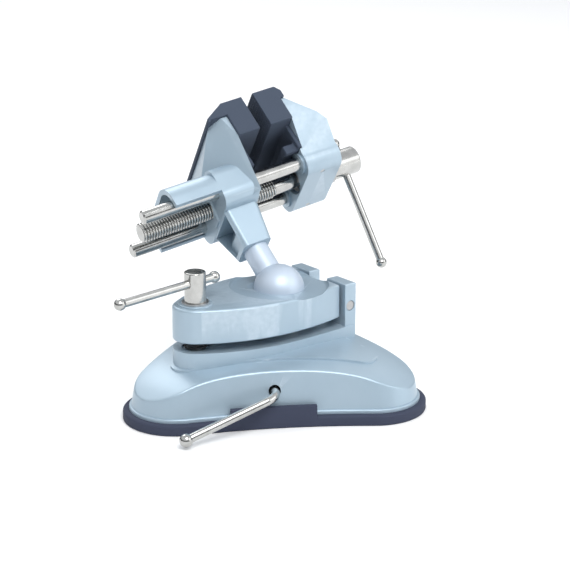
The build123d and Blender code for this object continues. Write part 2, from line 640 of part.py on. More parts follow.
with BuildPart() as fixed_jaw:
    # upright jaw, gusseted at both sides
    with BuildSketch(side_view()):
        Polygon(
            (FIXED_FACE_U, BODY_BOTTOM_N + 1), (FIXED_FACE_U, JAW_TOP_N), (JAW_BACK_TOP_U, JAW_TOP_N),
            (JAW_BACK_FOOT[0], JAW_BACK_FOOT[1]), (JAW_BACK_FOOT[0], BODY_BOTTOM_N + 1), align=None,
        )
    extrude(amount=JAW_HALF, both=True)
    for side in (-1, 1):
        a, b, c = [head_point(u, side * w, n) for u, w, n in GUSSET]
        outwards = (b - a).cross(c - a)
        if outwards.dot(W_AXIS * side) < 0:
            outwards = -outwards
        split(bisect_by=Plane(origin=a, z_dir=outwards), keep=Keep.BOTTOM)
    # body that the rods and the screw pass through
    with BuildSketch(end_view(PLATE_BACK_U)):
        with BuildLine():
            FilletPolyline(
                (0, BODY_BOTTOM_N), (-HOOD_HALF, BODY_BOTTOM_N), (-HOOD_HALF, HOOD_TOP_N), (0, HOOD_TOP_N),
                radius=BODY_CORNER_R,
            )
            FilletPolyline(
                (0, BODY_BOTTOM_N), (HOOD_HALF, BODY_BOTTOM_N), (HOOD_HALF, HOOD_TOP_N), (0, HOOD_TOP_N),
                radius=BODY_CORNER_R,
            )
        make_face()
    extrude(amount=FIXED_FACE_U - PLATE_BACK_U)
    # hood over the rods
    with BuildSketch(end_view(HOOD_BACK_U)):
        add(hood_outline(HOOD_HALF, HOOD_TOP_N, HOOD_CORNER_R))
        add(
            hood_outline(HOOD_HALF - HOOD_WALL, HOOD_TOP_N - HOOD_WALL, HOOD_CORNER_R - HOOD_WALL),
            mode=Mode.SUBTRACT,
        )
    extrude(amount=PLATE_BACK_U - HOOD_BACK_U)
    # tapered boss down to the stem
    with BuildSketch(plan_view(BOSS_BOTTOM_N)):
        with Locations((BOSS_BOTTOM_U, 0)):
            RectangleRounded(2 * BOSS_BOTTOM_DEEP, 2 * BOSS_BOTTOM_HALF, 3.0)
    with BuildSketch(plan_view(BODY_BOTTOM_N + 2)):
        with Locations(((FIXED_FACE_U + PLATE_BACK_U) / 2, 0)):
            RectangleRounded(FIXED_FACE_U - PLATE_BACK_U, 2 * BOSS_TOP_HALF, 3.0)
    loft(ruled=True)
    add(boss_pocket.part, mode=Mode.SUBTRACT)
    # bores: guide rods, lead screw, stem, grub screw
    add(rod_bores(PLATE_BACK_U - 1, FIXED_FACE_U + 1, ROD_GAP), mode=Mode.SUBTRACT)
    with BuildSketch(end_view(PLATE_BACK_U - 1)):
        with Locations((0, SCREW_N)):
            Circle(THREAD_R + ROD_GAP)
    extrude(amount=FIXED_FACE_U - PLATE_BACK_U + 2, mode=Mode.SUBTRACT)
    with BuildSketch(plan_view(BOSS_BOTTOM_N - 1)):
        Circle(SPIGOT_R + RUN_GAP)
    extrude(amount=SPIGOT_TOP_N - BOSS_BOTTOM_N + 1.3, mode=Mode.SUBTRACT)
    with BuildSketch(side_view(-BOSS_TOP_HALF)):
        with Locations((0, GRUB_N)):
            Circle(GRUB_R)
    extrude(amount=BOSS_TOP_HALF, mode=Mode.SUBTRACT)

with BuildPart() as stem_grub_screw:
    with BuildSketch(side_view(-GRUB_OUTER_W)):
        with Locations((0, GRUB_N)):
            Circle(GRUB_R)
            RegularPolygon(1.2, 6, mode=Mode.SUBTRACT)
    extrude(amount=1.8)
    with BuildSketch(side_view(-GRUB_OUTER_W + 1.8)):
        with Locations((0, GRUB_N)):
            Circle(GRUB_R)
    extrude(amount=GRUB_OUTER_W - 1.8 - SPIGOT_R - RUN_GAP)

# ---------------------------------------------------------------- head: jaw pads
def jaw_pad(face, towards, block_t, foot_t, cap):
    """Rubber pad on a jaw's front face: gripping block, sheet and foot, with cap as its top at the back."""
    block = face + towards * block_t
    foot = face + towards * foot_t
    sheet = face + towards * PAD_SHEET_T
    with BuildPart(mode=Mode.PRIVATE) as pad:
        with BuildSketch(side_view()):
            Polygon(
                (face, PAD_BLOCK_LOW_N), (block, PAD_BLOCK_LOW_N), (block, PAD_TOP_N),
                (face, PAD_TOP_N), *cap, (face, JAW_TOP_N), align=None,
            )
        extrude(amount=PAD_BLOCK_HALF, both=True)
        with BuildSketch(side_view()):
            Polygon(
                (face, PAD_FOOT_N[0]), (sheet, PAD_FOOT_N[0]), (sheet, PAD_BLOCK_LOW_N),
                (face, PAD_BLOCK_LOW_N), align=None,
            )
        extrude(amount=PAD_SHEET_HALF, both=True)
        with BuildSketch(side_view()):
            Polygon(
                (face, PAD_FOOT_N[0]), (foot, PAD_FOOT_N[0]), (foot, PAD_FOOT_N[1]),
                (face, PAD_FOOT_N[1]), align=None,
            )
        extrude(amount=PAD_FOOT_HALF, both=True)
        # the foot clears the rods and the screw
        with BuildSketch(end_view(face - block_t - 1)):
            with Locations((-ROD_W, SCREW_N), (0, SCREW_N), (ROD_W, SCREW_N)):
                Circle(PAD_NOTCH_R)
        extrude(amount=2 * block_t + 2, mode=Mode.SUBTRACT)
    return pad.part


with BuildPart() as fixed_jaw_pad:
    add(jaw_pad(FIXED_FACE_U, 1, FIXED_BLOCK_T, FIXED_FOOT_T, FIXED_CAP))

with BuildPart() as moving_jaw_pad:
    add(jaw_pad(MOVING_FACE_U, -1, MOVING_BLOCK_T, MOVING_FOOT_T, MOVING_CAP))

# ---------------------------------------------------------------- head: moving jaw
with BuildPart() as moving_jaw:
    with BuildSketch(side_view()):
        Polygon(
            (MOVING_FOOT_U, BODY_BOTTOM_N + 2.5), (MOVING_FOOT_U, MOVING_STEP_N),
            (MOVING_FACE_U, MOVING_STEP_N), (MOVING_FACE_U, JAW_TOP_N), (MOVING_TOP_U, JAW_TOP_N),
            (MOVING_BACK_U, MOVING_SLOPE_N), (MOVING_BACK_U, BODY_BOTTOM_N + 2.5), align=None,
        )
    extrude(amount=JAW_HALF, both=True)
    with BuildSketch(end_view(MOVING_FOOT_U - 1)):
        with BuildLine():
            half = MOVING_HALF
            FilletPolyline(
                (0, BODY_BOTTOM_N + 2.5), (-half, BODY_BOTTOM_N + 2.5), (-half, MOVING_SHOULDER_N[0]),
                radius=MOVING_CORNER_R,
            )
            Polyline(
                (-half, MOVING_SHOULDER_N[0]), (-JAW_HALF, MOVING_SHOULDER_N[1]),
                (-JAW_HALF, JAW_TOP_N + 1), (JAW_HALF, JAW_TOP_N + 1),
                (JAW_HALF, MOVING_SHOULDER_N[1]), (half, MOVING_SHOULDER_N[0]),
            )
            FilletPolyline(
                (0, BODY_BOTTOM_N + 2.5), (half, BODY_BOTTOM_N + 2.5), (half, MOVING_SHOULDER_N[0]),
                radius=MOVING_CORNER_R,
            )
        make_face()
    extrude(amount=MOVING_BACK_U - MOVING_FOOT_U + 2, mode=Mode.INTERSECT)
    # collars round the rods
    with BuildSketch(end_view(MOVING_FOOT_U - 1.2)):
        with Locations((-ROD_W, SCREW_N), (ROD_W, SCREW_N)):
            Circle(ROD_COLLAR_R)
    extrude(amount=4)
    add(rod_bores(MOVING_FOOT_U - 2, ROD_END + 0.2, 0), mode=Mode.SUBTRACT)
    with BuildSketch(end_view(MOVING_FOOT_U - 1)):
        with Locations((0, SCREW_N)):
            Circle(NECK_R + 0.1)
    extrude(amount=MOVING_BACK_U - MOVING_FOOT_U + 2, mode=Mode.SUBTRACT)
    with BuildSketch(end_view(MOVING_FOOT_U - 1)):
        with Locations((0, SCREW_N)):
            Circle(RING_POCKET_R)
    extrude(amount=1 + RING_POCKET_T, mode=Mode.SUBTRACT)
    with BuildSketch(plan_view(BODY_BOTTOM_N)):
        with Locations((ROD_PIN_U, -ROD_W), (ROD_PIN_U, ROD_W)):
            Circle(ROD_PIN_R)
    extrude(amount=ROD_PIN_TOP_N - BODY_BOTTOM_N, mode=Mode.SUBTRACT)


def guide_rod(w):
    """One guide rod, with chamfered ends and a cross hole for its pin."""
    with BuildPart(mode=Mode.PRIVATE) as rod:
        with BuildSketch(end_view(ROD_START)):
            with Locations((-w, SCREW_N)):
                Circle(ROD_R)
        extrude(amount=ROD_END - ROD_START)
        chamfer(rod.edges().filter_by(GeomType.CIRCLE), 0.8)
        with BuildSketch(plan_view(SCREW_N - ROD_R - 1)):
            with Locations((ROD_PIN_U, -w)):
                Circle(ROD_PIN_R)
        extrude(amount=2 * ROD_R + 2, mode=Mode.SUBTRACT)
    return rod.part


with BuildPart() as guide_rod_near:
    add(guide_rod(ROD_W))

with BuildPart() as guide_rod_far:
    add(guide_rod(-ROD_W))

with BuildPart() as rod_pins:
    with BuildSketch(plan_view(BODY_BOTTOM_N + 2.7)):
        with Locations((ROD_PIN_U, -ROD_W), (ROD_PIN_U, ROD_W)):
            Circle(ROD_PIN_R)
    extrude(amount=ROD_PIN_TOP_N - BODY_BOTTOM_N - 2.8)

with BuildPart() as thrust_washer:
    with BuildSketch(end_view(MOVING_BACK_U + 0.05)):
        with Locations((0, SCREW_N)):
            Circle(SCREW_HEAD_R + 1.0)
            Circle(NECK_R + 0.15, mode=Mode.SUBTRACT)
    extrude(amount=SCREW_HEAD[0] - MOVING_BACK_U - 0.15)

# ---------------------------------------------------------------- head: lead screw and its bar
slant = radians(SCREW_BAR_SLANT)
SCREW_BAR_PLANE = Plane(
    origin=head_point(SCREW_BAR_U, 0, SCREW_N), x_dir=U_AXIS, z_dir=-N_AXIS * cos(slant) - W_AXIS * sin(slant)
)

with BuildPart() as lead_screw:
    for start, end, r in (
        (SCREW_START, NECK_START, THREAD_R), (NECK_START, SCREW_HEAD[0], NECK_R), (*SCREW_HEAD, SCREW_HEAD_R)
    ):
        with BuildSketch(end_view(start)):
            with Locations((0, SCREW_N)):
                Circle(r)
        extrude(amount=end - start)
    chamfer(lead_screw.edges().sort_by(Axis(BALL, U_AXIS))[0], 1.0)
    fillet(lead_screw.edges().sort_by(Axis(BALL, U_AXIS))[-1], 1.2)
    with BuildSketch(end_view(RING_U[0] - 0.05)):
        with Locations((0, SCREW_N)):
            Circle(NECK_R + 1)
            Circle(RING_BORE_R, mode=Mode.SUBTRACT)
    extrude(amount=RING_U[1] - RING_U[0] + 0.1, mode=Mode.SUBTRACT)
    with BuildSketch(SCREW_BAR_PLANE.offset(-SCREW_HEAD_R - 1)):
        Circle(BAR_R + BAR_GAP)
    extrude(amount=2 * SCREW_HEAD_R + 2, mode=Mode.SUBTRACT)

with BuildPart() as screw_ring:
    with BuildSketch(end_view(RING_U[0])):
        with Locations((0, SCREW_N)):
            Circle(RING_R)
            Circle(RING_BORE_R, mode=Mode.SUBTRACT)
        with Locations((0, SCREW_N - NECK_R)):
            Rectangle(2 * RING_BORE_R - 2, 2 * NECK_R, mode=Mode.SUBTRACT)
    extrude(amount=RING_U[1] - RING_U[0])

with BuildPart() as screw_bar:
    with BuildSketch(SCREW_BAR_PLANE.offset(SCREW_BAR_ENDS[0])):
        Circle(BAR_R)
    extrude(amount=SCREW_BAR_ENDS[1] - SCREW_BAR_ENDS[0])

with BuildPart() as screw_bar_balls:
    for reach, inwards in zip(SCREW_BAR_ENDS, (1, -1)):
        with Locations(SCREW_BAR_PLANE.offset(reach).origin):
            Sphere(BAR_BALL_R)
        with BuildSketch(SCREW_BAR_PLANE.offset(reach)):
            Circle(BAR_R)
        extrude(amount=inwards * (BAR_BALL_R + 1), mode=Mode.SUBTRACT)

# ---------------------------------------------------------------- write the parts
PIECES = {
    "base_shell": base_shell,
    "suction_pad": suction_pad,
    "pull_stud": pull_stud,
    "lock_lever": lock_lever,
    "lever_cam": lever_cam,
    "lever_clip": lever_clip,
    "lever_ball": lever_ball,
    "clamp_plate": clamp_plate,
    "hinge_pin": hinge_pin,
    "clamp_spring": clamp_spring,
    "clamp_washer": clamp_washer,
    "clamp_screw": clamp_screw,
    "clamp_bar": clamp_bar,
    "clamp_bar_balls": clamp_bar_balls,
    "seat_ring": seat_ring,
    "ball_stem": ball_stem,
    "fixed_jaw": fixed_jaw,
    "stem_grub_screw": stem_grub_screw,
    "fixed_jaw_pad": fixed_jaw_pad,
    "moving_jaw": moving_jaw,
    "moving_jaw_pad": moving_jaw_pad,
    "guide_rod_near": guide_rod_near,
    "guide_rod_far": guide_rod_far,
    "rod_pins": rod_pins,
    "thrust_washer": thrust_washer,
    "lead_screw": lead_screw,
    "screw_ring": screw_ring,
    "screw_bar": screw_bar,
    "screw_bar_balls": screw_bar_balls,
}
for name, piece in PIECES.items():
    piece.part.label = name
    export_step(piece.part, f"parts/{name}.step")
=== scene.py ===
"""Visual model of a table vise with a suction base: cast parts, threads, gripping faces and finishes."""
import json
import logging
from dataclasses import dataclass, field
from enum import Enum
from math import radians

import bmesh
import bpy
from mathutils import Matrix, Vector


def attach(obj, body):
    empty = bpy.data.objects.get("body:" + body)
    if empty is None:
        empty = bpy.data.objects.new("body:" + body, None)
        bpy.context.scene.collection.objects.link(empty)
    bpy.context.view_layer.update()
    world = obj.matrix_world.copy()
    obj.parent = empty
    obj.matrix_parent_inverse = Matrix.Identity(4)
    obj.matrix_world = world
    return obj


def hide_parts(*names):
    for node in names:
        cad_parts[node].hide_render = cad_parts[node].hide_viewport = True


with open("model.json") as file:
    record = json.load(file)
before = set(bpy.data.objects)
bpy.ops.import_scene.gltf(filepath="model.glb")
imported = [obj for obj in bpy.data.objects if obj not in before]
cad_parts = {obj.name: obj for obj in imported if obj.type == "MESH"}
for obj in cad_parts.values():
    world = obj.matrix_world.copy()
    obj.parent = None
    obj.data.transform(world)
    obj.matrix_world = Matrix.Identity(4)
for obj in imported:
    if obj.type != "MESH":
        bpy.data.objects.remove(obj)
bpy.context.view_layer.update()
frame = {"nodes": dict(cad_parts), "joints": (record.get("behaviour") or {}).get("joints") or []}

log = logging.getLogger("vise")

MM = 0.001
MERGE_WITHIN = 1e-6  # corners of the CAD triangles closer than this are one
FLAT_WITHIN = radians(0.3)  # neighbouring triangles closer to flat than this are one face


class Edge(Enum):
    """How far a piece's edges are rounded over, in metres."""

    CAST = 0.0009
    MOULDED = 0.0006
    TURNED = 0.00025
    KEPT = 0.0


# ------------------------------------------------------------------ shader groups and finishes
def shader_group(
    name: str, inputs: dict[str, float], outputs: tuple[str, ...],
) -> tuple[bpy.types.NodeTree, bool]:
    """Find or start a shader node group with float sockets.

    Args:
        name: The group's name.
        inputs: Socket names and their default values.
        outputs: Output socket names.

    Returns:
        The tree, and whether it is new and still empty.
    """
    if name in bpy.data.node_groups:
        return bpy.data.node_groups[name], False
    tree = bpy.data.node_groups.new(name, "ShaderNodeTree")
    for label, value in inputs.items():
        socket = tree.interface.new_socket(label, in_out="INPUT", socket_type="NodeSocketFloat")
        socket.default_value = value
    for label in outputs:
        tree.interface.new_socket(label, in_out="OUTPUT", socket_type="NodeSocketFloat")
    return tree, True


def grain_group() -> bpy.types.NodeTree:
    """Build the grain group: broad mottling and fine bumps on Object coordinates.

    Returns:
        A group with inputs Broad and Fine, in cells per metre, and outputs Mottle and Height.
    """
    tree, new = shader_group("surface_grain", {"Broad": 60.0, "Fine": 1500.0}, ("Mottle", "Height"))
    if not new:
        return tree
    inlet = tree.nodes.new("NodeGroupInput")
    outlet = tree.nodes.new("NodeGroupOutput")
    place = tree.nodes.new("ShaderNodeTexCoord")
    for source, target, detail in (("Broad", "Mottle", 4.0), ("Fine", "Height", 2.0)):
        noise = tree.nodes.new("ShaderNodeTexNoise")
        noise.inputs["Detail"].default_value = detail
        tree.links.new(place.outputs["Object"], noise.inputs["Vector"])
        tree.links.new(inlet.outputs[source], noise.inputs["Scale"])
        tree.links.new(noise.outputs["Fac"], outlet.inputs[target])
    return tree


def edge_highlight_and_wear_group() -> bpy.types.NodeTree:
    """Build the edge group: a mask that is high on outer edges and broken up by noise, for edge wear and
    painted edge highlights.

    Returns:
        A group with inputs Amount and Breakup, in cells per metre, and output Mask.
    """
    tree, new = shader_group("edge_highlight_and_wear_mask", {"Amount": 0.5, "Breakup": 350.0}, ("Mask",))
    if not new:
        return tree
    inlet = tree.nodes.new("NodeGroupInput")
    outlet = tree.nodes.new("NodeGroupOutput")
    place = tree.nodes.new("ShaderNodeTexCoord")
    shape = tree.nodes.new("ShaderNodeNewGeometry")
    edges = tree.nodes.new("ShaderNodeMapRange")
    edges.inputs["From Min"].default_value = 0.52
    edges.inputs["From Max"].default_value = 0.60
    noise = tree.nodes.new("ShaderNodeTexNoise")
    patchy = tree.nodes.new("ShaderNodeMath")
    patchy.operation = "MULTIPLY"
    scaled = tree.nodes.new("ShaderNodeMath")
    scaled.operation = "MULTIPLY"
    tree.links.new(shape.outputs["Pointiness"], edges.inputs["Value"])
    tree.links.new(place.outputs["Object"], noise.inputs["Vector"])
    tree.links.new(inlet.outputs["Breakup"], noise.inputs["Scale"])
    tree.links.new(edges.outputs["Result"], patchy.inputs[0])
    tree.links.new(noise.outputs["Fac"], patchy.inputs[1])
    tree.links.new(patchy.outputs["Value"], scaled.inputs[0])
    tree.links.new(inlet.outputs["Amount"], scaled.inputs[1])
    tree.links.new(scaled.outputs["Value"], outlet.inputs["Mask"])
    return tree


@dataclass(frozen=True)
class Finish:
    """One surface finish, with grain, mottling, and outer edges lightened for wear and as painted edge
    highlights.

    Colours are linear RGB. Roughness and the bump height vary with the grain.
    """

    name: str
    slot: str
    low: tuple[float, float, float]
    high: tuple[float, float, float]
    # Lighter colour for outer edges: painted edge highlight as well as wear.
    edge_highlight_and_worn: tuple[float, float, float]
    metallic: float
    roughness: tuple[float, float]
    broad: float = 60.0
    fine: float = 1500.0
    bump: float = 0.00002
    edge_highlight_and_wear: float = 0.5
    coat: float = 0.0

    def material(self) -> bpy.types.Material:
        """Find or build the material.

        Returns:
            A node material named after the finish.
        """
        if self.name in bpy.data.materials:
            return bpy.data.materials[self.name]
        made = bpy.data.materials.new(self.name)
        made.use_nodes = True
        tree = made.node_tree
        shader = tree.nodes["Principled BSDF"]
        grain = self._group(tree, grain_group(), {"Broad": self.broad, "Fine": self.fine})
        edge_highlight_and_wear = self._group(tree, edge_highlight_and_wear_group(), {"Amount": self.edge_highlight_and_wear})
        ramp = tree.nodes.new("ShaderNodeMapRange")
        ramp.inputs["From Min"].default_value = 0.3
        ramp.inputs["From Max"].default_value = 0.7
        tree.links.new(grain.outputs["Mottle"], ramp.inputs["Value"])
        tone = self._mix(tree, ramp.outputs["Result"], (*self.low, 1), (*self.high, 1))
        # Outer edges take the lighter edge colour: partly wear, partly painted edge highlight.
        colour = self._mix(tree, edge_highlight_and_wear.outputs["Mask"], tone, (*self.edge_highlight_and_worn, 1))
        tree.links.new(colour, shader.inputs["Base Color"])
        polish = tree.nodes.new("ShaderNodeMapRange")
        polish.inputs["To Min"].default_value = self.roughness[0]
        polish.inputs["To Max"].default_value = self.roughness[1]
        tree.links.new(grain.outputs["Mottle"], polish.inputs["Value"])
        tree.links.new(polish.outputs["Result"], shader.inputs["Roughness"])
        bump = tree.nodes.new("ShaderNodeBump")
        bump.inputs["Strength"].default_value = 0.6
        bump.inputs["Distance"].default_value = self.bump
        tree.links.new(grain.outputs["Height"], bump.inputs["Height"])
        tree.links.new(bump.outputs["Normal"], shader.inputs["Normal"])
        shader.inputs["Metallic"].default_value = self.metallic
        shader.inputs["Coat Weight"].default_value = self.coat
        shader.inputs["Coat Roughness"].default_value = 0.2
        made.diffuse_color = (*self.high, 1)
        return made

    @staticmethod
    def _group(
        tree: bpy.types.NodeTree, group: bpy.types.NodeTree, values: dict[str, float],
    ) -> bpy.types.Node:
        """Place a shader group in a material with its own values."""
        node = tree.nodes.new("ShaderNodeGroup")
        node.node_tree = group
        for label, value in values.items():
            node.inputs[label].default_value = value
        return node

    @staticmethod
    def _mix(
        tree: bpy.types.NodeTree, factor: bpy.types.NodeSocket, low: object, high: object,
    ) -> bpy.types.NodeSocket:
        """Mix two colours, each a plain colour or another node's output, and return the result's socket."""
        node = tree.nodes.new("ShaderNodeMix")
        node.data_type = "RGBA"
        tree.links.new(factor, node.inputs["Factor"])
        sockets = [s for s in node.inputs if s.type == "RGBA"]
        for socket, value in zip(sockets, (low, high)):
            if isinstance(value, bpy.types.NodeSocket):
                tree.links.new(value, socket)
            else:
                socket.default_value = value
        return next(s for s in node.outputs if s.type == "RGBA")


# The third colour of each finish is its lighter edge colour, painted edge highlight as well as wear.
PAINT = Finish(
    "silver_blue_paint", "paint", (0.335, 0.435, 0.515), (0.36, 0.46, 0.54), (0.54, 0.63, 0.70),
    metallic=0.4, roughness=(0.37, 0.43), bump=0.00003, edge_highlight_and_wear=0.8, coat=0.2,
)
BALL_PAINT = Finish(
    "ball_paint", "ball_paint", (0.16, 0.20, 0.26), (0.38, 0.45, 0.52), (0.55, 0.6, 0.66),
    metallic=0.7, roughness=(0.26, 0.44), broad=160.0, fine=1800.0, bump=0.00003, edge_highlight_and_wear=0.5,
)
BASE_RUBBER = Finish(
    "base_rubber", "base_rubber", (0.006, 0.010, 0.022), (0.014, 0.021, 0.038), (0.10, 0.12, 0.15),
    metallic=0.0, roughness=(0.55, 0.75), broad=90.0, fine=2500.0, bump=0.00003, edge_highlight_and_wear=1.0,
)
PAD_RUBBER = Finish(
    "pad_rubber", "pad_rubber", (0.004, 0.008, 0.017), (0.010, 0.017, 0.031), (0.07, 0.09, 0.12),
    metallic=0.0, roughness=(0.45, 0.65), broad=120.0, fine=2500.0, bump=0.00003, edge_highlight_and_wear=0.7,
)
CHROME = Finish(
    "plated_steel", "chrome", (0.42, 0.42, 0.405), (0.52, 0.52, 0.505), (0.7, 0.7, 0.68),
    metallic=1.0, roughness=(0.12, 0.26), broad=180.0, fine=4000.0, bump=0.000004, edge_highlight_and_wear=0.3,
)
STEEL = Finish(
    "plain_steel", "steel", (0.38, 0.38, 0.38), (0.50, 0.50, 0.50), (0.6, 0.6, 0.6),
    metallic=1.0, roughness=(0.30, 0.45), broad=250.0, fine=3000.0, bump=0.000008, edge_highlight_and_wear=0.4,
)
DARK_STEEL = Finish(
    "black_steel", "dark_steel", (0.03, 0.03, 0.035), (0.07, 0.07, 0.075), (0.2, 0.2, 0.2),
    metallic=0.8, roughness=(0.35, 0.55), broad=250.0, fine=3000.0, bump=0.000008, edge_highlight_and_wear=0.5,
)


# ------------------------------------------------------------------ frame of the head
@dataclass(frozen=True)
class HeadFrame:
    """The head's own axes: u along the lead screw, n up from the ball, w across the jaws, in metres."""

    ball: Vector
    u: Vector
    n: Vector

    @classmethod
    def from_joints(cls, joints: list[dict]) -> "HeadFrame":
        """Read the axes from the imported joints.

        Args:
            joints: The frame's joints.

        Returns:
            The head's frame.
        """
        named = {joint["name"]: joint for joint in joints}
        return cls(
            Vector(named["head_spin"]["pos_m"]),
            Vector(named["jaw_slide"]["axis"]).normalized(),
            Vector(named["head_spin"]["axis"]).normalized(),
        )

    @property
    def w(self) -> Vector:
        """The axis across the jaws."""
        return self.u.cross(self.n)

    def point(self, u: float, w: float, n: float) -> Vector:
        """A point given in millimetres along the three axes."""
        return self.ball + (self.u * u + self.w * w + self.n * n) * MM

    def placing(self, x: Vector, y: Vector, z: Vector, at: Vector) -> Matrix:
        """The matrix that takes a piece's own axes to x, y and z, and its origin to a point."""
        return Matrix((
            (x.x, y.x, z.x, at.x), (x.y, y.y, z.y, at.y), (x.z, y.z, z.z, at.z), (0, 0, 0, 1),
        ))


# ------------------------------------------------------------------ making pieces
def finish_piece(mesh: bpy.types.Mesh, name: str, body: str, finish: Finish) -> bpy.types.Object:
    """Make an object of a finished mesh and attach it to a body.

    Args:
        mesh: The mesh, already in place.
        name: The piece's name.
        body: The body it moves with.
        finish: Its surface.

    Returns:
        The new object.
    """
    mesh.name = name
    mesh.materials.clear()
    mesh.materials.append(finish.material())
    piece = bpy.data.objects.new(name, mesh)
    bpy.context.scene.collection.objects.link(piece)
    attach(piece, body)
    log.info("%s rides on %s, %d faces", name, body, len(mesh.polygons))
    return piece


def baked(holder: bpy.types.Object) -> bpy.types.Mesh:
    """Apply an object's modifiers and remove the object.

    Args:
        holder: An object with live modifiers.

    Returns:
        Its evaluated mesh.
    """
    view = bpy.context.evaluated_depsgraph_get()
    mesh = bpy.data.meshes.new_from_object(holder.evaluated_get(view))
    bpy.data.objects.remove(holder)
    return mesh


def softened(node: str, body: str, finish: Finish, edge: Edge, crease: float = 32.0) -> bpy.types.Object:
    """Stand in for a CAD node with a merged copy whose edges are rounded over.

    Args:
        node: The CAD node.
        body: The body it rides on.
        finish: Its surface.
        edge: How far its edges are rounded.
        crease: The angle, in degrees, above which an edge counts as one.

    Returns:
        The piece that stands for the node.
    """
    mesh = frame["nodes"][node].data.copy()
    shape = bmesh.new()
    shape.from_mesh(mesh)
    bmesh.ops.remove_doubles(shape, verts=shape.verts, dist=MERGE_WITHIN)
    bmesh.ops.dissolve_limit(shape, angle_limit=FLAT_WITHIN, verts=shape.verts, edges=shape.edges)
    for face in shape.faces:
        face.smooth = True
    shape.to_mesh(mesh)
    shape.free()
    if mesh.has_custom_normals:
        mesh.attributes.remove(mesh.attributes["custom_normal"])
    mesh.set_sharp_from_angle(angle=radians(crease))
    holder = bpy.data.objects.new("holder", mesh)
    bpy.context.scene.collection.objects.link(holder)
    if edge is not Edge.KEPT:
        bevel = holder.modifiers.new("edges", "BEVEL")
        bevel.width = edge.value
        bevel.segments = 2
        bevel.limit_method = "ANGLE"
        bevel.angle_limit = radians(crease)
        bevel.use_clamp_overlap = True
    weighting = holder.modifiers.new("shading", "WEIGHTED_NORMAL")
    weighting.keep_sharp = True
    piece = finish_piece(baked(holder), f"{node}_made", body, finish)
    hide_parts(node)
    return piece


# ------------------------------------------------------------------ node trees for what repeats
def geometry_tree(name: str, inputs: dict[str, str]) -> bpy.types.NodeTree:
    """Start a geometry node tree with named inputs and a geometry output.

    Args:
        name: The tree's name.
        inputs: Socket names and their kinds, such as Float.

    Returns:
        The new tree.
    """
    tree = bpy.data.node_groups.new(name, "GeometryNodeTree")
    for label, kind in inputs.items():
        tree.interface.new_socket(label, in_out="INPUT", socket_type=f"NodeSocket{kind}")
    tree.interface.new_socket("Geometry", in_out="OUTPUT", socket_type="NodeSocketGeometry")
    tree.nodes.new("NodeGroupInput")
    tree.nodes.new("NodeGroupOutput")
    return tree


def close_tree(tree: bpy.types.NodeTree, shape: bpy.types.NodeSocket) -> None:
    """End a tree in Realize Instances and Set Material."""
    inlet, outlet = tree.nodes["Group Input"], tree.nodes["Group Output"]
    real = tree.nodes.new("GeometryNodeRealizeInstances")
    coloured = tree.nodes.new("GeometryNodeSetMaterial")
    tree.links.new(shape, real.inputs["Geometry"])
    tree.links.new(real.outputs["Geometry"], coloured.inputs["Geometry"])
    tree.links.new(inlet.outputs["Material"], coloured.inputs["Material"])
    tree.links.new(coloured.outputs["Geometry"], outlet.inputs["Geometry"])


def thread_tree() -> bpy.types.NodeTree:
    """Build the helical ridge of a screw thread, climbing +Z from the origin.

    Returns:
        A tree with inputs Turns, Pitch, Radius, Ridge and Material.
    """
    if "screw_thread" in bpy.data.node_groups:
        return bpy.data.node_groups["screw_thread"]
    tree = geometry_tree(
        "screw_thread",
        {"Turns": "Float", "Pitch": "Float", "Radius": "Float", "Ridge": "Float", "Material": "Material"},
    )
    inlet = tree.nodes["Group Input"]
    height = tree.nodes.new("ShaderNodeMath")
    height.operation = "MULTIPLY"
    helix = tree.nodes.new("GeometryNodeCurveSpiral")
    helix.inputs["Resolution"].default_value = 28
    upright = tree.nodes.new("GeometryNodeSetCurveNormal")
    upright.mode = "Z_UP"
    section = tree.nodes.new("GeometryNodeCurvePrimitiveCircle")
    section.inputs["Resolution"].default_value = 4
    ridge = tree.nodes.new("GeometryNodeCurveToMesh")
    ridge.inputs["Fill Caps"].default_value = True
    links = tree.links
    links.new(inlet.outputs["Turns"], height.inputs[0])
    links.new(inlet.outputs["Pitch"], height.inputs[1])
    links.new(inlet.outputs["Turns"], helix.inputs["Rotations"])
    links.new(inlet.outputs["Radius"], helix.inputs["Start Radius"])
    links.new(inlet.outputs["Radius"], helix.inputs["End Radius"])
    links.new(height.outputs["Value"], helix.inputs["Height"])
    links.new(helix.outputs["Curve"], upright.inputs["Curve"])
    links.new(upright.outputs["Curve"], ridge.inputs["Curve"])
    links.new(inlet.outputs["Ridge"], section.inputs["Radius"])
    links.new(section.outputs["Curve"], ridge.inputs["Profile Curve"])
    close_tree(tree, ridge.outputs["Mesh"])
    return tree


def hatch_tree() -> bpy.types.NodeTree:
    """Build a gripping face: rows of small four-sided points on the XY plane.

    Returns:
        A tree with inputs Width, Height, Columns, Rows, Point, Depth and Material.
    """
    if "gripping_face" in bpy.data.node_groups:
        return bpy.data.node_groups["gripping_face"]
    tree = geometry_tree(
        "gripping_face",
        {
            "Width": "Float", "Height": "Float", "Columns": "Int", "Rows": "Int",
            "Point": "Float", "Depth": "Float", "Material": "Material",
        },
    )
    inlet = tree.nodes["Group Input"]
    grid = tree.nodes.new("GeometryNodeMeshGrid")
    spread = tree.nodes.new("GeometryNodeInstanceOnPoints")
    point = tree.nodes.new("GeometryNodeMeshCone")
    point.inputs["Vertices"].default_value = 4
    links = tree.links
    links.new(inlet.outputs["Width"], grid.inputs["Size X"])
    links.new(inlet.outputs["Height"], grid.inputs["Size Y"])
    links.new(inlet.outputs["Columns"], grid.inputs["Vertices X"])
    links.new(inlet.outputs["Rows"], grid.inputs["Vertices Y"])
    links.new(inlet.outputs["Point"], point.inputs["Radius Bottom"])
    links.new(inlet.outputs["Depth"], point.inputs["Depth"])
    links.new(grid.outputs["Mesh"], spread.inputs["Points"])
    links.new(point.outputs["Mesh"], spread.inputs["Instance"])
    close_tree(tree, spread.outputs["Instances"])
    return tree


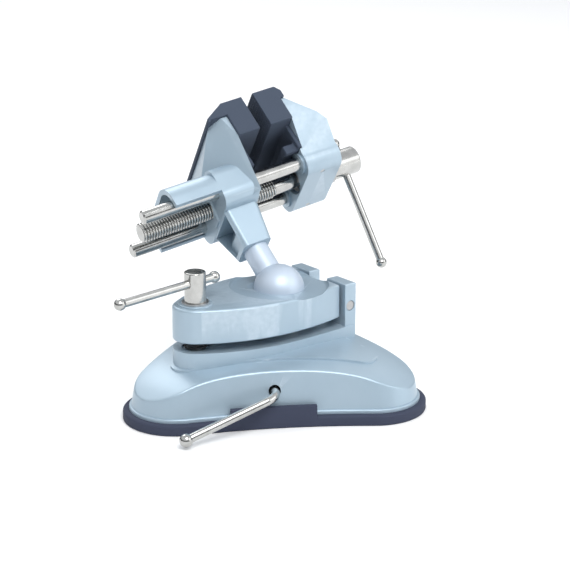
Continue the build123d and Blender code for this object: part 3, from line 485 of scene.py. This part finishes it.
def grown(tree: bpy.types.NodeTree, values: dict[str, object], placing: Matrix) -> bpy.types.Mesh:
    """Run a geometry tree once and return its mesh in place.

    Args:
        tree: The tree.
        values: Its inputs by name.
        placing: Where the mesh goes. It may mirror the mesh, whose faces still end pointing outwards.

    Returns:
        A plain mesh.
    """
    holder = bpy.data.objects.new("holder", bpy.data.meshes.new("holder"))
    grower = holder.modifiers.new("grow", "NODES")
    grower.node_group = tree
    for item in tree.interface.items_tree:
        if item.in_out == "INPUT" and item.name in values:
            grower[item.identifier] = values[item.name]
    bpy.context.scene.collection.objects.link(holder)
    mesh = baked(holder)
    mesh.transform(placing)
    if placing.determinant() < 0:
        mesh.flip_normals()
    return mesh


# ------------------------------------------------------------------ sub-assemblies
@dataclass
class SuctionBase:
    """Cast base on its rubber, with the spring and the hinge pin."""

    dressed: dict[str, tuple[Finish, Edge]] = field(default_factory=lambda: {
        "base_shell": (PAINT, Edge.CAST),
        "suction_pad": (BASE_RUBBER, Edge.MOULDED),
        "hinge_pin": (STEEL, Edge.KEPT),
        "clamp_spring": (DARK_STEEL, Edge.KEPT),
    })

    def build(self) -> None:
        """Round over and dress each piece."""
        for node, (finish, edge) in self.dressed.items():
            softened(node, "base", finish, edge)
        softened("pull_stud", "stud", STEEL, Edge.KEPT)


@dataclass
class LockLever:
    """Bent lever with its cam, clip and end ball."""

    dressed: dict[str, Finish] = field(default_factory=lambda: {
        "lock_lever": CHROME, "lever_ball": CHROME, "lever_cam": STEEL, "lever_clip": STEEL,
    })

    def build(self) -> None:
        """Dress each piece."""
        for node, finish in self.dressed.items():
            softened(node, "lever", finish, Edge.KEPT)


@dataclass
class BallClamp:
    """Hinged plate over the ball, its screw, bar and washer, and the seat under the ball."""

    axis_x: float = -50.0
    thread_low: float = 38.4
    thread_pitch: float = 1.5
    thread_turns: float = 3.0
    thread_r: float = 3.9
    ridge: float = 0.35

    def build(self) -> None:
        """Build the castings, then the screw with its thread."""
        softened("clamp_plate", "plate", PAINT, Edge.CAST)
        softened("clamp_washer", "washer", STEEL, Edge.KEPT)
        softened("clamp_screw", "clamp_screw", CHROME, Edge.TURNED)
        placing = Matrix.Translation(Vector((self.axis_x, 0, self.thread_low)) * MM)
        values = {
            "Turns": self.thread_turns, "Pitch": self.thread_pitch * MM, "Radius": self.thread_r * MM,
            "Ridge": self.ridge * MM, "Material": CHROME.material(),
        }
        finish_piece(grown(thread_tree(), values, placing), "clamp_screw_thread", "clamp_screw", CHROME)
        softened("clamp_bar", "clamp_bar", CHROME, Edge.KEPT)
        softened("clamp_bar_balls", "clamp_bar", CHROME, Edge.KEPT)
        softened("seat_ring", "seat", STEEL, Edge.KEPT)
        softened("ball_stem", "ball", BALL_PAINT, Edge.KEPT)


@dataclass
class PadFace:
    """Sizes of one pad's gripping face, in millimetres of the head's frame.

    What lies within skin of the face counts as part of it.
    """

    width: float = 72.0
    low_n: float = 83.2
    high_n: float = 104.2
    pitch: float = 1.9
    depth: float = 0.45
    skin: float = 0.05

    def build(
        self, pad: bpy.types.Object, head: HeadFrame, face_u: float, outwards: int, body: str, name: str,
    ) -> None:
        """Sink a pad's face by the points' depth, then raise the points to where it was.

        Args:
            pad: The pad that the face belongs to.
            head: The head's frame.
            face_u: Where the face stands along u.
            outwards: 1 if it faces +u, -1 if it faces -u.
            body: The body it moves with.
            name: The piece's name.
        """
        height = self.high_n - self.low_n
        values = {
            "Width": self.width * MM, "Height": height * MM,
            "Columns": int(self.width / self.pitch) + 1, "Rows": int(height / self.pitch) + 1,
            "Point": self.pitch / 2 * MM, "Depth": self.depth * MM, "Material": PAD_RUBBER.material(),
        }
        z = head.u * outwards
        for vertex in pad.data.vertices:
            proud = (vertex.co - head.point(face_u, 0, 0)).dot(z)
            if proud > -self.skin * MM:
                vertex.co -= z * self.depth * MM
        at = head.point(face_u - outwards * self.depth, 0, (self.low_n + self.high_n) / 2)
        mesh = grown(hatch_tree(), values, head.placing(head.n.cross(z), head.n, z, at))
        finish_piece(mesh, name, body, PAD_RUBBER)


@dataclass
class FixedJaw:
    """Cast fixed jaw with its pad and the grub screw that holds the stem."""

    face_u: float = 24.0
    face: PadFace = field(default_factory=PadFace)

    def build(self, head: HeadFrame) -> None:
        """Build the casting, its pad and the gripping face."""
        softened("fixed_jaw", "head", PAINT, Edge.CAST)
        softened("stem_grub_screw", "head", DARK_STEEL, Edge.KEPT)
        pad = softened("fixed_jaw_pad", "head", PAD_RUBBER, Edge.MOULDED)
        self.face.build(pad, head, self.face_u, 1, "head", "fixed_gripping_face")


@dataclass
class MovingJaw:
    """Cast moving jaw with its pad, guide rods, pins and thrust washer."""

    face_u: float = 31.0
    face: PadFace = field(default_factory=PadFace)

    def build(self, head: HeadFrame) -> None:
        """Build the casting, the rods, the pad and the gripping face."""
        softened("moving_jaw", "slider", PAINT, Edge.CAST)
        pad = softened("moving_jaw_pad", "slider", PAD_RUBBER, Edge.MOULDED)
        for node in ("guide_rod_near", "guide_rod_far"):
            softened(node, "slider", CHROME, Edge.KEPT)
        for node in ("rod_pins", "thrust_washer"):
            softened(node, "slider", STEEL, Edge.KEPT)
        self.face.build(pad, head, self.face_u, -1, "slider", "moving_gripping_face")


@dataclass
class LeadScrew:
    """Lead screw with its thread, retaining ring and sliding bar, in millimetres of the head's frame."""

    axis_n: float = 62.0
    start_u: float = -57.0
    end_u: float = 29.6
    outer_r: float = 5.9
    root_r: float = 5.05
    pitch: float = 1.75
    neck_u: float = 30.2

    def build(self, head: HeadFrame) -> None:
        """Build the screw's body at its root size, then wind the thread round it."""
        body = softened("lead_screw", "screw", CHROME, Edge.TURNED)
        self._narrow(body.data, head)
        turns = (self.end_u - self.start_u) / self.pitch
        ridge = self.outer_r - self.root_r
        values = {
            "Turns": turns, "Pitch": self.pitch * MM, "Radius": self.root_r * MM,
            "Ridge": ridge * MM, "Material": CHROME.material(),
        }
        placing = head.placing(head.n, -head.w, head.u, head.point(self.start_u, 0, self.axis_n))
        finish_piece(grown(thread_tree(), values, placing), "lead_screw_thread", "screw", CHROME)
        softened("screw_ring", "screw", STEEL, Edge.KEPT)
        softened("screw_bar", "screw_bar", CHROME, Edge.KEPT)
        softened("screw_bar_balls", "screw_bar", CHROME, Edge.KEPT)

    def _narrow(self, mesh: bpy.types.Mesh, head: HeadFrame) -> None:
        """Bring the threaded length of the body in to the thread's root."""
        origin = head.point(0, 0, self.axis_n)
        for vertex in mesh.vertices:
            offset = vertex.co - origin
            along = offset.dot(head.u)
            outwards = offset - head.u * along
            if along < self.neck_u * MM and outwards.length > self.root_r * MM:
                vertex.co = origin + head.u * along + outwards.normalized() * self.root_r * MM


@dataclass
class Studio:
    """Pale floor, soft lights and the camera."""

    azimuth: float = -38.0
    elevation: float = 17.5
    distance: float = 1.0
    lens: float = 111.2
    aim: tuple[float, float] = (0.0034, 0.0023)

    def build(self, target: Vector) -> None:
        """Build the floor, the lights and the camera.

        Args:
            target: The ball's centre, which the camera looks near.
        """
        self._floor()
        self._lights(target)
        self._camera(target)

    def _floor(self) -> None:
        """A pale floor and a pale world."""
        mesh = bpy.data.meshes.new("floor")
        mesh.from_pydata([(-6, -6, 0), (6, -6, 0), (6, 6, 0), (-6, 6, 0)], [], [(0, 1, 2, 3)])
        floor = bpy.data.objects.new("floor", mesh)
        bpy.context.scene.collection.objects.link(floor)
        made = bpy.data.materials.new("floor")
        made.use_nodes = True
        shader = made.node_tree.nodes["Principled BSDF"]
        shader.inputs["Base Color"].default_value = (0.9, 0.9, 0.9, 1)
        shader.inputs["Roughness"].default_value = 0.8
        mesh.materials.append(made)
        bpy.context.scene.world = self._world()

    @staticmethod
    def _world() -> bpy.types.World:
        """A white surround that turns darker near the horizon where it lights and reflects.

        Returns:
            The world.
        """
        world = bpy.data.worlds.new("studio")
        world.use_nodes = True
        tree = world.node_tree
        shader = tree.nodes["Background"]
        place = tree.nodes.new("ShaderNodeTexCoord")
        split = tree.nodes.new("ShaderNodeSeparateXYZ")
        ramp = tree.nodes.new("ShaderNodeValToRGB")
        stops = ramp.color_ramp
        stops.elements[0].position, stops.elements[0].color = 0.0, (0.55, 0.57, 0.6, 1)
        stops.elements[1].position, stops.elements[1].color = 1.0, (0.75, 0.77, 0.8, 1)
        for position, tone in ((0.06, 0.06), (0.26, 0.10), (0.40, 0.95), (0.75, 0.9)):
            stops.elements.new(position).color = (tone, tone * 1.02, tone * 1.05, 1)
        path = tree.nodes.new("ShaderNodeLightPath")
        seen = tree.nodes.new("ShaderNodeMix")
        seen.data_type = "RGBA"
        colours = [s for s in seen.inputs if s.type == "RGBA"]
        colours[1].default_value = (1, 1, 1, 1)
        tree.links.new(place.outputs["Generated"], split.inputs["Vector"])
        tree.links.new(split.outputs["Z"], ramp.inputs["Fac"])
        tree.links.new(path.outputs["Is Camera Ray"], seen.inputs["Factor"])
        tree.links.new(ramp.outputs["Color"], colours[0])
        tree.links.new(next(s for s in seen.outputs if s.type == "RGBA"), shader.inputs["Color"])
        shader.inputs["Strength"].default_value = 1.0
        return world

    def _lights(self, target: Vector) -> None:
        """A large key light, a fill and a rim light."""
        for name, place, size, power in (
            ("key", (-0.35, -0.9, 1.35), 0.8, 16.0),
            ("fill", (0.9, -1.1, 0.6), 1.2, 6.5),
            ("rim", (0.3, 1.2, 1.2), 1.0, 8.0),
        ):
            lamp = bpy.data.lights.new(name, "AREA")
            lamp.size = size
            lamp.energy = power
            light = bpy.data.objects.new(name, lamp)
            light.location = place
            light.rotation_euler = (target - Vector(place)).to_track_quat("-Z", "Y").to_euler()
            bpy.context.scene.collection.objects.link(light)

    def _camera(self, target: Vector) -> None:
        """The camera, slightly above the ball's height."""
        round_z = Matrix.Rotation(radians(self.azimuth), 3, "Z")
        turn = round_z @ Matrix.Rotation(radians(-self.elevation), 3, "X")
        back, right, up = turn @ Vector((0, -1, 0)), turn @ Vector((1, 0, 0)), turn @ Vector((0, 0, 1))
        aim = target + right * self.aim[0] + up * self.aim[1]
        lens = bpy.data.cameras.new("camera")
        lens.lens = self.lens
        lens.clip_end = 20
        camera = bpy.data.objects.new("camera", lens)
        camera.location = aim + back * self.distance
        camera.rotation_euler = (-back).to_track_quat("-Z", "Y").to_euler()
        bpy.context.scene.collection.objects.link(camera)
        bpy.context.scene.camera = camera


def main() -> None:
    """Build every sub-assembly and the studio."""
    logging.basicConfig(level=logging.INFO, format="%(name)s: %(message)s")
    head = HeadFrame.from_joints(frame["joints"])
    SuctionBase().build()
    LockLever().build()
    BallClamp().build()
    FixedJaw().build(head)
    MovingJaw().build(head)
    LeadScrew().build(head)
    Studio().build(head.ball)
    bpy.context.scene.view_settings.view_transform = "Standard"


if __name__ == "__main__":
    main()
